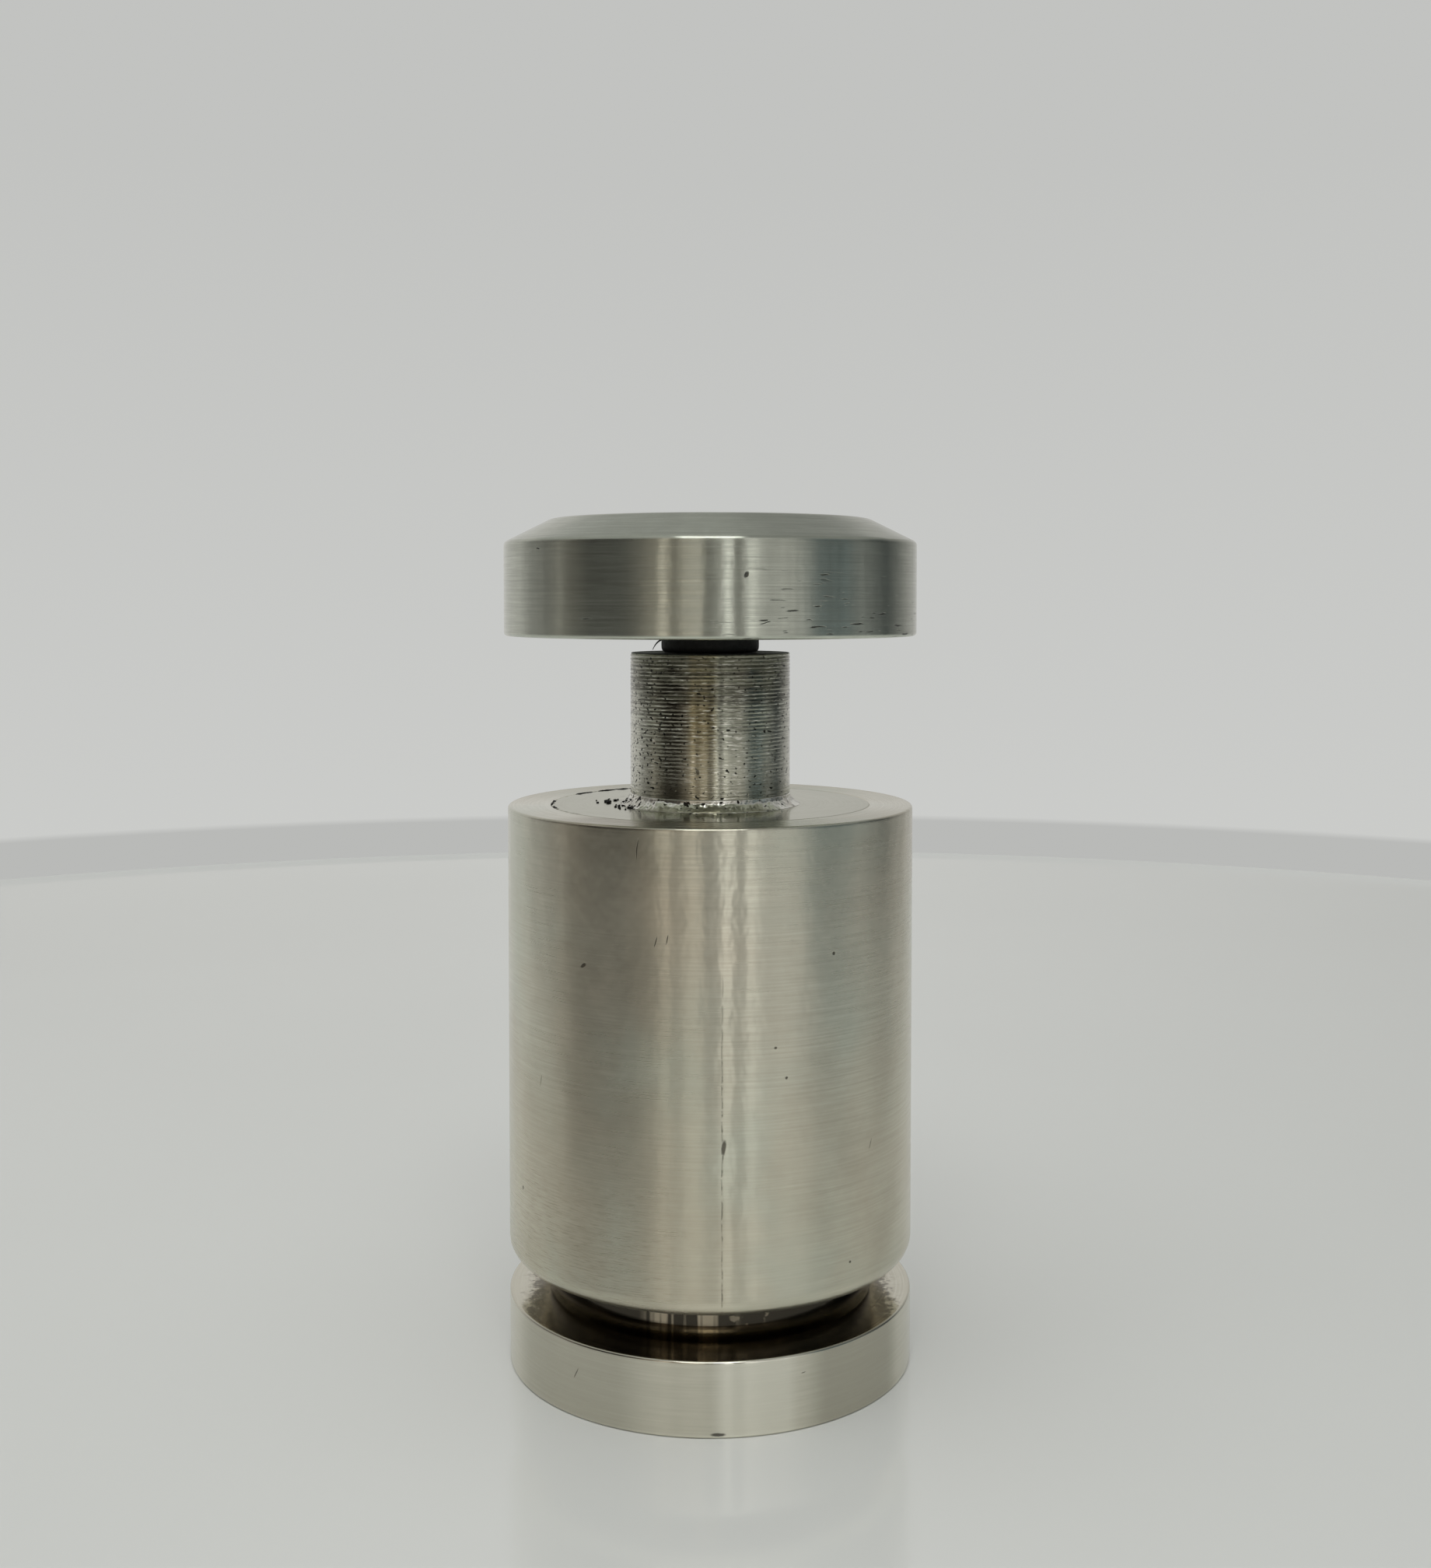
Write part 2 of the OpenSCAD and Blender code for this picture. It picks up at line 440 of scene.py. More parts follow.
# Marks on side walls, each (degrees round, height, tilt, length, width) in mm and degrees
CAP_MARKS = [
    (9, 96.7, 60, 0.9, 0.6), (21, 92.7, 4, 1.8, 0.22), (30, 96.7, 0, 1.4, 0.18), (28, 93.2, 3, 1.2, 0.20),
    (41, 91.2, 0, 2.4, 0.24), (51, 92.3, 5, 1.8, 0.20), (60, 90.9, 2, 2.2, 0.22), (-51, 99.8, -10, 0.9, 0.25),
    (-33, 91.8, 0, 1.6, 0.16), (14, 91.4, 14, 1.7, 0.12)]
BARREL_MARKS = [
    (-35, 52.6, 30, 1.0, 0.5), (34, 54, 0, 0.55, 0.45), (17, 44, 0, 0.4, 0.35), (20, 40.5, 0, 0.4, 0.35),
    (-63, 24, 70, 0.6, 0.4), (40, 18, 0, 0.4, 0.35), (-19, 66.2, 84, 2.8, 0.16), (-14, 56, 75, 1.4, 0.14),
    (-11, 56.3, 78, 1.2, 0.14), (3.4, 33, 85, 2.0, 0.6), (-52, 38, 75, 1.6, 0.10), (48, 31, 70, 1.4, 0.12)]
DISC_MARKS = [(-38, 5.2, 62, 1.7, 0.14), (2, 0.5, 0, 2.0, 0.5), (25, 6.6, 10, 0.7, 0.12)]


def cap_material():
    """Cool grey steel with long brushing and dark dashes low on the right."""
    m = Nodes("cap_steel")
    base, rough, normal = brushed(m, (0.69, 0.715, 0.62), (0.47, 0.485, 0.42), 0.21, 1.0,
                                  lines=4600, line_bump=0.004, wave=0.035)
    radius = radius_of("cap_disc")
    place, angle = unrolled(m, radius, 0.12 * MM)
    z = m.axes()[2]
    dashed_side = sector(m, angle, 12, 70, 0.25)
    lower = m.remap(z, 98.5 * MM, 92 * MM)
    dashes = pits(m, (1, 8), 420, 0.69, 0.73, m.times(dashed_side, lower))
    dots = pits(m, (1, 1.6), 650, 0.80, 0.83)
    dark = m.either(marks_mask(m, place, radius, CAP_MARKS), m.either(dashes, dots))
    base = m.mix(m.times(dark, 0.9), base, (0.04, 0.04, 0.035))
    return finish_material(m, base, rough, sunk(m, normal, dark, 0.03))


def barrel_material():
    """Satin steel with painted shade deepening the dark reflection on its left flank, soft tints, slanting
    scratches low down and a dark weld seam.
    """
    m = Nodes("barrel_steel")
    base, rough, normal = brushed(m, (0.75, 0.725, 0.61), (0.60, 0.575, 0.475), 0.245, 0.9,
                                  lines=3800, line_bump=0.002, blotch=45, wave=0.10)
    radius = radius_of("barrel_tube")
    place, angle = unrolled(m, radius, 0.10 * MM)
    z = m.axes()[2]
    warm_foot = m.times(m.remap(z, 52 * MM, 18 * MM, smooth=True), 0.45)
    base = m.mix(warm_foot, base, (0.70, 0.65, 0.51))
    cloud = m.noise(m.scaled(1, 1, 0.8), 90, 4.0, 0.6)
    # painted shade: darkens the left flank, deepening the dark reflection there
    painted_dark_reflection = m.times(sector(m, angle, -37, -18, 0.26), m.remap(z, 14 * MM, 40 * MM, 0.5, 1.0, smooth=True))
    painted_dark_reflection = m.times(painted_dark_reflection, m.remap(cloud, 0.25, 0.75, 0.7, 1.0, smooth=True))
    base = m.mix(m.times(painted_dark_reflection, 0.75), base, (0.33, 0.30, 0.235))
    hue = m.noise(m.scaled(1, 1, 0.8), 60, 3.0, 0.55)
    base = m.mix(m.remap(hue, 0.48, 0.70, 0.0, 0.5, smooth=True), base, (0.60, 0.64, 0.55))
    base = m.mix(m.remap(hue, 0.52, 0.32, 0.0, 0.4, smooth=True), base, (0.66, 0.59, 0.475))
    haze = m.times(m.remap(cloud, 0.40, 0.75, smooth=True), m.remap(z, 62 * MM, 30 * MM, smooth=True))
    base = m.mix(m.times(haze, 0.28), base, (0.45, 0.39, 0.30))
    tilted = m.add("ShaderNodeMapping")
    tilted.inputs["Rotation"].default_value = (0, 0, math.radians(-38))
    tilted.inputs["Scale"].default_value = (500, 9000, 1)
    m.link(place, tilted.inputs["Vector"])
    scratch = m.remap(m.noise(tilted.outputs["Vector"], 1.0, 2.0, 0.5), 0.52, 0.70, smooth=True)
    scratch = m.times(scratch, m.remap(z, 34 * MM, 22 * MM, smooth=True))
    scratch = m.times(scratch, m.remap(angle, math.radians(-2), math.radians(-22), smooth=True))
    base = m.mix(m.times(scratch, 0.5), base, (0.30, 0.26, 0.19))
    swing = m.noise(m.scaled(0, 0, 1), 260, 3.0, 0.6)
    seam_at = m.remap(swing, 0.0, 1.0, math.radians(2.2), math.radians(3.8))
    off_seam = m.math("ABSOLUTE", m.math("SUBTRACT", angle, seam_at))
    seam = m.remap(off_seam, 0.0016, 0.0045, 1.0, 0.0)
    seam = m.times(seam, m.remap(z, 55 * MM, 40 * MM, smooth=True))
    seam = m.times(seam, m.remap(m.noise(m.scaled(0, 0, 1), 520, 3.0, 0.7), 0.42, 0.58, 0.0, 0.65))
    spots = marks_mask(m, place, radius, BARREL_MARKS)
    dark = m.either(seam, m.times(spots, 0.85))
    base = m.mix(dark, base, (0.07, 0.06, 0.045))
    return finish_material(m, base, rough, sunk(m, normal, dark, 0.03))


def disc_material():
    """Bright satin steel with painted shade to the left and the right and a painted highlight at the front,
    darker and browner over most of its top.
    """
    m = Nodes("disc_steel")
    base, rough, normal = brushed(m, (0.78, 0.755, 0.655), (0.66, 0.635, 0.54), 0.17, 0.7,
                                  line_bump=0.002, wave=0.04)
    radius = radius_of("wall_disc")
    place, angle = unrolled(m, radius, 0.08 * MM)
    # painted shade: darker to the left and the right
    painted_dark_sides = m.either(sector(m, angle, -58, -26, 0.2), m.times(sector(m, angle, 33, 56, 0.16), 1.5))
    base = m.mix(m.times(painted_dark_sides, 0.45), base, (0.42, 0.40, 0.33))
    # painted highlight: a brighter band at the front, a little to the right
    painted_highlight = sector(m, angle, 4, 20, 0.08)
    base = m.mix(m.times(painted_highlight, 0.55), base, (0.92, 0.90, 0.80))
    scratches = marks_mask(m, place, radius, DISC_MARKS)
    base = m.mix(m.times(scratches, 0.85), base, (0.05, 0.045, 0.04))
    x, _, z = m.axes()
    top_z = span_of("wall_disc")[1]
    away = m.distance_from_axis()
    within_rim = m.remap(away, 24.75 * MM, 24.6 * MM)
    on_top = m.times(m.remap(z, top_z - 0.12 * MM, top_z - 0.04 * MM), within_rim)
    turning = m.noise(m.along(away, 4200), 1.0, 3.0, 0.6)
    streaky = m.noise(m.scaled(1, 1, 1), 900, 4.0, 0.7)
    # darker, browner colour over the middle of the top, with a dark fringe at its edge
    darkened_colour = m.mix(m.remap(streaky, 0.3, 0.7, smooth=True), (0.33, 0.29, 0.215), (0.49, 0.435, 0.33))
    darkened_colour = m.mix(m.remap(turning, 0.36, 0.66, 0.55, 0.0), darkened_colour, (0.13, 0.11, 0.08))
    edge = m.plus(m.math("ABSOLUTE", x), m.remap(streaky, 0.3, 0.7, -1.1 * MM, 1.1 * MM))
    darkened_top = m.times(on_top, m.remap(edge, 23.2 * MM, 20.2 * MM, smooth=True))
    base = m.mix(darkened_top, base, darkened_colour)
    fringe = m.times(on_top, between(m, edge, 20.6 * MM, 21.2 * MM, 0.9 * MM))
    base = m.mix(m.times(fringe, 0.55), base, (0.06, 0.052, 0.04))
    return finish_material(m, base, rough, normal)


def plug_material():
    """Smooth faced steel with faint tool tracks and a stain at the neck's left."""
    m = Nodes("plug_steel")
    base, rough, normal = brushed(m, (0.57, 0.565, 0.50), (0.46, 0.455, 0.40), 0.13, 0.3,
                                  line_bump=0.0008, wave=0.03)
    away = m.distance_from_axis()
    angle = m.azimuth()
    tracks = m.noise(m.along(away, 2600), 1.0, 3.0, 0.6)
    base = m.mix(m.times(m.remap(tracks, 0.50, 0.68, smooth=True), 0.30), base, (0.40, 0.39, 0.33))
    stain = m.remap(m.noise(m.scaled(1, 1, 1), 430, 3.0, 0.6), 0.50, 0.60, smooth=True)
    stain = m.times(stain, between(m, away, 10.8 * MM, 12.6 * MM, 0.9 * MM))
    stain = m.times(stain, m.times(sector(m, angle, -120, -40, 0.3), 0.6))
    base = m.mix(stain, base, (0.04, 0.035, 0.028))
    m.shader.inputs["Specular Tint"].default_value = (0.90, 0.90, 0.85, 1)
    return finish_material(m, base, rough, normal)


def neck_material():
    """Rough turned steel with painted light at the foot, painted sheen along both sides and painted shade at
    the top under the cap; lined at the top, its top face black, pitted on the left.
    """
    m = Nodes("turned_steel")
    foot, top = span_of("front_plug")[1], span_of("neck_post")[1]
    rings = m.noise(m.scaled(60, 60, 5200), 1.0, 2.0, 0.6)
    flecks = m.noise(m.scaled(800, 800, 7000), 1.0, 2.0, 0.6)
    patches = m.noise(m.scaled(1, 1, 0.4), 190, 3.0, 0.6)
    x, _, z = m.axes()
    angle = m.azimuth()
    height = m.remap(z, foot, top)
    grey = m.mix(m.remap(patches, 0.3, 0.7, smooth=True), (0.43, 0.44, 0.36), (0.30, 0.295, 0.235))
    ruddy = sector(m, angle, -30, -16, 0.12)
    base = m.mix(m.times(ruddy, 0.35), grey, (0.25, 0.205, 0.155))
    base = m.mix(sector(m, angle, -12, 1, 0.10), base, (0.325, 0.285, 0.175))
    # painted light: paler towards the foot
    base = m.mix(m.remap(height, 0.60, 0.05, 0.0, 0.65, smooth=True), base, (0.60, 0.59, 0.49))
    # painted sheen: paler along the left and right edges
    base = m.mix(m.remap(m.math("ABSOLUTE", x), 6.6 * MM, 9.4 * MM, smooth=True), base, (0.66, 0.66, 0.58))
    # painted shade: darker towards the top, under the cap
    base = m.mix(m.times(m.remap(height, 0.52, 0.95, smooth=True), 0.55), base, (0.16, 0.15, 0.115))
    lines = m.remap(height, 0.35, 0.85, 0.15, 0.8, smooth=True)
    base = m.mix(m.times(m.remap(rings, 0.46, 0.60), lines), base, (0.07, 0.065, 0.05))
    lower = m.remap(height, 0.95, 0.55, 0.35, 0.8, smooth=True)
    base = m.mix(m.times(m.remap(flecks, 0.57, 0.64), lower), base, (0.80, 0.79, 0.70))
    side = m.remap(m.math("ABSOLUTE", x), 3 * MM, 9 * MM, 0.0, 0.05)
    small = m.noise(m.scaled(1, 1, 1.4), 2100, 1.0, 0.4)
    left = m.remap(x, 0.0, -8 * MM, 0.0, 0.03)
    pitted = m.remap(m.plus(m.plus(small, side), left), 0.70, 0.73)
    large = pits(m, (1, 1.2), 1000, 0.75, 0.78, m.remap(x, -2 * MM, -8 * MM, 0.6, 1.0))
    dark = m.either(pitted, large)
    base = m.mix(dark, base, (0.015, 0.015, 0.012))
    black_top = m.remap(z, top - 0.10 * MM, top - 0.03 * MM)
    base = m.mix(black_top, base, (0.008, 0.008, 0.008))
    metal = m.remap(black_top, 0.0, 1.0, 1.0, 0.0)
    m.link(metal, m.shader.inputs["Metallic"])
    rough = m.plus(m.remap(patches, 0.3, 0.7, 0.17, 0.12), m.times(black_top, 0.5))
    m.stretch_shine(0.6)
    normal = m.bump(flecks, 0.02 * MM)
    return finish_material(m, base, rough, sunk(m, normal, dark, 0.06))


def weld_material():
    """Bright bare weld with black holes, more of them on the left."""
    m = Nodes("weld_steel")
    grain = m.noise(m.scaled(1, 1, 1), 1500, 3.0, 0.6)
    patches = m.noise(m.scaled(1, 1, 1), 300, 2.0, 0.5)
    base = m.mix(m.remap(patches, 0.35, 0.65, smooth=True), (0.68, 0.66, 0.59), (0.92, 0.91, 0.85))
    left = m.remap(m.axes()[0], 2 * MM, -9 * MM, 0.0, 0.06)
    holes = m.remap(m.plus(m.noise(m.scaled(1, 1, 1), 1700, 1.0, 0.4), left), 0.67, 0.71)
    base = m.mix(holes, base, (0.04, 0.035, 0.03))
    m.shader.inputs["Metallic"].default_value = 1.0
    normal = m.bump(grain, 0.06 * MM)
    return finish_material(m, base, m.remap(grain, 0.3, 0.7, 0.10, 0.22), sunk(m, normal, holes, 0.05))


def thread_material():
    """Machined steel; the spigot's foot is darker, with painted reflection bars and painted glints at the
    front.
    """
    m = Nodes("thread_steel")
    base, rough, normal = brushed(m, (0.62, 0.60, 0.54), (0.52, 0.50, 0.44), 0.11, 0.3, line_bump=0.0008)
    z = m.axes()[2]
    angle = m.azimuth()
    bars = m.noise(m.scaled(1, 1, 0.05), 900, 1.0, 0.4)
    shape = m.noise(m.scaled(1, 1, 1), 900, 2.0, 0.5)
    # painted reflection: brighter bars at the front, and painted glints to their right
    painted_reflection_bars = m.times(sector(m, angle, -17, 3, 0.14), m.remap(bars, 0.44, 0.54))
    painted_glints = m.times(m.remap(shape, 0.60, 0.68, 0.0, 0.55), sector(m, angle, 8, 38, 0.1))
    darkened_colour = m.mix(m.either(painted_reflection_bars, painted_glints), (0.06, 0.053, 0.042), (0.42, 0.36, 0.27))
    # darker towards the spigot's foot, darkest just above the disc
    ragged = m.plus(z, m.remap(shape, 0.3, 0.7, -0.8 * MM, 0.8 * MM))
    darker_foot = m.remap(ragged, 17 * MM, 14.5 * MM, smooth=True)
    base = m.mix(darker_foot, base, darkened_colour)
    darkest_foot = m.times(m.remap(z, 11.0 * MM, 10.4 * MM, smooth=True), 0.5)
    base = m.mix(darkest_foot, base, (0.10, 0.085, 0.06))
    return finish_material(m, base, rough, normal)


def screw_material():
    """Dark machined steel."""
    m = Nodes("screw_steel")
    grain = m.noise(m.scaled(1, 1, 1), 1400, 3.0, 0.6)
    base = m.mix(m.remap(grain, 0.35, 0.65), (0.16, 0.16, 0.17), (0.30, 0.30, 0.31))
    m.shader.inputs["Metallic"].default_value = 1.0
    return finish_material(m, base, m.remap(grain, 0.3, 0.7, 0.28, 0.42), m.bump(grain, 0.01 * MM))


def rubber_material():
    """Matt black rubber with a little dust."""
    m = Nodes("black_rubber")
    grain = m.noise(m.scaled(1, 1, 1), 2500, 2.0, 0.6)
    dust = m.noise(m.scaled(1, 1, 1), 300, 2.0, 0.5)
    base = m.mix(m.remap(dust, 0.5, 0.75), (0.004, 0.004, 0.004), (0.012, 0.012, 0.011))
    rough = m.remap(grain, 0.3, 0.7, 0.55, 0.75)
    return finish_material(m, base, rough, m.bump(grain, 0.02 * MM))


# ---------------------------------------------------------------- pieces

# Inner radii, heights and lengths that the CAD's boxes don't show
ANCHOR_HOLE = 5.5 * MM
SPIGOT_BORE = 12 * MM
SPIGOT_FOOT = 18.8 * MM
SPIGOT_THREAD_LOW = 25 * MM
BARREL_CAVITY = 19 * MM
BARREL_BORE_LENGTH = 32 * MM
NECK_TAIL = 7 * MM
STUD_HOLE_END = 65.05 * MM
STUD_IN_CAP = 8 * MM
THREAD_PLAY = 0.05 * MM

# Where the joint round the plug is worn open, and over how much that fades, in degrees round; its width
GAP_MIDDLE = -102
GAP_HALF = 46
GAP_FADE = 12
GAP_WIDTH = 0.30 * MM

# Crumbs: (how many, degrees round, distance from the axis in mm, size in mm, lying along the joint or not)
GRIT_SEED = 7
GRIT = [
    (11, (-108, -84), (11.6, 15.0), (0.25, 0.75), False),
    (9, (-78, -50), (11.2, 12.6), (0.2, 0.55), False),
    (26, (-92, -58), (10.1, 11.4), (0.2, 0.65), False),
    (7, (-20, 35), (11.2, 12.0), (0.12, 0.3), False),
    (18, (-98, -70), (19.45, 19.75), (0.4, 1.3), True),
    (24, (-155, -112), (19.4, 19.8), (0.6, 1.9), True)]


def make_wall_disc(material):
    """Wall disc with the anchor's hole and the seat for the spigot."""
    r = radius_of("wall_disc")
    low, top = span_of("wall_disc")
    web = span_of("threaded_spigot")[0]
    corners = [
        (ANCHOR_HOLE, low, 0.3 * MM), (r, low, 0.35 * MM), (r, top, 0.28 * MM),
        (SPIGOT_FOOT, top, 0), (SPIGOT_FOOT, web, 0), (ANCHOR_HOLE, web, 0.3 * MM)]
    piece = turn("wall_disc_turned", with_supports(rounded(corners)))
    return finish_piece(piece, "wall_base", "disc_steel", material, "wall_disc")


def make_spigot(material, disc_top):
    """Hollow spigot: its foot sits in the disc, its upper part is threaded."""
    r = radius_of("threaded_spigot")
    low, top = span_of("threaded_spigot")
    pitch = 1.5 * MM
    lead_in = 0.8 * MM
    thread_top = top - lead_in
    corners = rounded([
        (SPIGOT_BORE, low, 0), (SPIGOT_FOOT, low, 0), (SPIGOT_FOOT, disc_top, 0), (r, disc_top, 0)])
    rings = divided((r, disc_top), (r, SPIGOT_THREAD_LOW), 8)
    rings += divided((r, SPIGOT_THREAD_LOW), (r, thread_top), 120)
    end = rounded([(r, thread_top, 0), (r - lead_in, top, 0), (SPIGOT_BORE, top, 0.3 * MM)])
    shape = thread_shape(r, 0.9 * MM, pitch, SPIGOT_THREAD_LOW, thread_top, 1.2 * MM)
    piece = turn("spigot_threaded", corners + rings + end, 192, shape)
    return finish_piece(piece, "wall_base", "thread_steel", material, "threaded_spigot")


def cut_lock_hole(piece, wall_r):
    """Cuts the lock screw's hole, a little countersunk, out of the barrel's shell."""
    low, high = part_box("lock_screw")
    hole_r = (high.x - low.x) / 2 + THREAD_PLAY
    sink = 0.3 * MM
    start = low.y - 2 * MM
    end = wall_r + 1 * MM
    mouth_r = hole_r + sink + end - wall_r
    outline = [(0, start), (hole_r, start), (hole_r, wall_r - sink), (mouth_r, end), (0, end)]
    cutter = turn("lock_hole_cutter", outline, 64)
    lay_back(cutter, 0, (low.z + high.z) / 2)
    hole = piece.modifiers.new("lock_hole", "BOOLEAN")
    hole.object = cutter
    hole.operation = "DIFFERENCE"
    hole.solver = "EXACT"
    bpy.context.view_layer.update()
    evaluated = piece.evaluated_get(bpy.context.evaluated_depsgraph_get())
    drilled = bpy.data.meshes.new_from_object(evaluated)
    piece.modifiers.clear()
    plain = piece.data
    piece.data = drilled
    drilled.name = plain.name + "_drilled"
    bpy.data.meshes.remove(plain)
    bpy.data.objects.remove(cutter)
    drilled.set_sharp_from_angle(angle=SHARP_EDGE)


def make_barrel(material):
    """Barrel tube: bored to slide on the spigot, hollow above it, with the plug's seat at the front end."""
    r = radius_of("barrel_tube")
    low, top = span_of("barrel_tube")
    plug_r = radius_of("front_plug")
    plug_low = span_of("front_plug")[0]
    bore = radius_of("threaded_spigot") + THREAD_PLAY
    bore_top = low + BARREL_BORE_LENGTH
    corners = [
        (bore, low, 0.5 * MM), (r, low, 2.1 * MM), (r, top, 0.35 * MM), (plug_r, top, 0.15 * MM),
        (plug_r, plug_low, 0), (BARREL_CAVITY, plug_low, 0),
        (BARREL_CAVITY, bore_top, 0), (bore, bore_top, 0)]
    piece = turn("barrel_shell", with_supports(rounded(corners)))
    cut_lock_hole(piece, r)
    return finish_piece(piece, "barrel", "barrel_steel", material, "barrel_tube")


def make_plug(material):
    """Round end piece in the barrel's front, with a hole for the neck's tail."""
    r = radius_of("front_plug")
    low, top = span_of("front_plug")
    deep = top - 0.9 * MM
    corners = [
        (NECK_TAIL, low, 0), (r, low, 0), (r, deep - 0.2 * MM, 0), (r, deep, 0), (r, top, 0.15 * MM),
        (NECK_TAIL, top, 0)]

    def worn_joint(rr, z, angle):
        """Widens the joint round the plug into broken dark dashes on the left and behind it."""
        if rr < r - 0.35 * MM or z < deep - 0.01 * MM:
            return rr, z
        degrees = math.degrees(math.atan2(math.cos(angle), -math.sin(angle)))
        near = max(0.0, 1 - max(0.0, abs(degrees - GAP_MIDDLE) - GAP_HALF) / GAP_FADE)
        broken = 0.35 + 2.2 * noise.noise(Vector((math.cos(angle), math.sin(angle), 0.3)) * 17)
        return rr - GAP_WIDTH * near * min(1.0, max(0.0, broken)), z

    piece = turn("front_plug_faced", with_supports(rounded(corners)), 768, worn_joint)
    return finish_piece(piece, "barrel", "plug_steel", material, "front_plug")


def make_neck(material, face_z):
    """Neck with a narrower tail in the plug and the stud's hole, its wall scored by the lathe's tool."""
    r = radius_of("neck_post")
    low, top = span_of("neck_post")
    hole = radius_of("cap_stud") + THREAD_PLAY
    edge = 0.15 * MM
    tool_pitch = 0.45 * MM

    def tool_marks(rr, z, angle):
        """Grooves that run round like a fine thread and get deeper towards the top."""
        if abs(rr - r) > ON_WALL or not face_z < z < top:
            return rr, z
        phase = z / tool_pitch - angle / TURN
        grain = noise.noise(Vector((math.cos(angle) * 4, math.sin(angle) * 4, z / MM * 1.2)))
        depth = (0.005 + 0.065 * ((z - face_z) / (top - face_z)) ** 2) * (1 + grain) * MM
        wave = 0.5 - 0.5 * math.cos(TURN * phase)
        return rr - depth * wave, z

    outline = rounded([(0, low, 0), (NECK_TAIL, low, 0), (NECK_TAIL, face_z, 0), (r, face_z, 0)])
    outline += divided((r, face_z), (r, top - edge), 330)
    outline += [Vector((r, top - edge)), Vector((r - edge, top))]
    outline += [Vector((hole, top)), Vector((hole, STUD_HOLE_END)), Vector((0, STUD_HOLE_END))]
    piece = turn("neck_turned", outline, 192, tool_marks)
    return finish_piece(piece, "barrel", "turned_steel", material, "neck_post")


def make_weld(material):
    """Lumpy hollow-faced weld bead round the neck's foot."""
    outer = radius_of("neck_weld")
    low, top = span_of("neck_weld")
    inner = radius_of("neck_post")
    steps = 16

    def ripple(rr, z, angle):
        """Moves the bead's face in and out by lumps and finer grit."""
        if rr < inner + ON_WALL or z < low + 0.01 * MM and rr < outer - 0.3 * MM:
            return rr, z
        around = Vector((math.cos(angle), math.sin(angle), 0)) * 8
        lump = noise.noise(around + Vector((0, 0, z / MM * 0.9)))
        grit = noise.noise(around * 5 + Vector((0, 0, z / MM * 3)))
        move = (0.16 * lump + 0.14 * grit - 0.14) * MM
        return max(inner + 0.03 * MM, rr + move), z

    flare = []
    for k in range(steps + 1):
        angle = math.pi / 2 * k / steps
        reach = 1 - math.sin(angle)
        lift = 1 - math.cos(angle)
        bulge = 0.10 * math.sin(2 * angle)
        away = inner + (outer - inner) * (reach + bulge)
        flare.append(Vector((away, low + (top - low) * (lift + bulge))))
    outline = [Vector((inner, low)), *divided((inner, low), (outer, low), 6), *flare]
    piece = turn("neck_weld_bead", outline, 384, ripple)
    return finish_piece(piece, "barrel", "weld_steel", material, "neck_weld")


def make_grit(material, face_z):
    """Small black crumbs on the plug's face, at the weld's foot and packed in the plug's joint."""
    dice = random.Random(GRIT_SEED)
    inner, outer = radius_of("neck_post"), radius_of("neck_weld")
    low, top = span_of("neck_weld")

    def weld_height(r):
        """Height of the weld's hollow face above the plug."""
        reach = min(1.0, max(0.0, (r - inner) / (outer - inner)))
        return (top - low) * (1 - math.sqrt(1 - (1 - reach) ** 2))

    mesh = bpy.data.meshes.new("foot_grit")
    builder = bmesh.new()
    for count, angles, radii, sizes, aligned in GRIT:
        for _ in range(count):
            angle = math.radians(dice.uniform(*angles))
            r = dice.uniform(*radii) * MM
            size = dice.uniform(*sizes) * MM
            spin = Matrix.Rotation(angle if aligned else dice.uniform(0, TURN), 4, "Z")
            width = dice.uniform(0.15, 0.3) if aligned else dice.uniform(0.35, 0.8)
            height = dice.uniform(0.08, 0.16) if aligned else dice.uniform(0.3, 0.5)
            shape = Matrix.Diagonal((1, width, height, 1))
            lift = 0 if aligned else weld_height(r) + 0.15 * size
            place = Matrix.Translation((r * math.sin(angle), -r * math.cos(angle), face_z + lift))
            flake = bmesh.ops.create_icosphere(builder, subdivisions=2, radius=size / 2)["verts"]
            for vert in flake:
                vert.co *= 1 + 0.35 * noise.noise(vert.co.normalized() * 2 + Vector((angle * 40, 0, 0)))
                vert.co = place @ spin @ shape @ vert.co
    builder.to_mesh(mesh)
    builder.free()
    return finish_piece(placed("foot_grit", mesh), "barrel", "black_rubber", material)


def make_lock_screw(material):
    """Grub screw with a cone point towards the spigot and a hexagon socket at the back."""
    low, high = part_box("lock_screw")
    r = (high.x - low.x) / 2
    length = high.y - low.y
    socket = r * 0.5
    depth = 2.2 * MM
    sector_angle = TURN / 6
    corners = [
        (0, 0, 0), (r * 0.55, 0, 0.1 * MM), (r, r * 0.4, 0), (r, length, 0.25 * MM),
        (socket * 1.25, length, 0.1 * MM), (socket, length - 0.25 * MM, 0), (socket, length - depth, 0),
        (0, length - depth - 0.5 * MM, 0)]

    def hexagon(rr, z, angle):
        """Pulls the round socket into six flat sides."""
        if rr > socket * 1.02 or z < length - depth * 1.3 or rr < ON_AXIS:
            return rr, z
        off_middle = (angle % sector_angle) - sector_angle / 2
        return rr * math.cos(sector_angle / 2) / math.cos(off_middle) * 1.08, z

    piece = turn("lock_screw_socket", with_supports(rounded(corners, 3)), 96, hexagon)
    lay_back(piece, low.y, (low.z + high.z) / 2)
    return finish_piece(piece, "barrel", "screw_steel", material, "lock_screw")


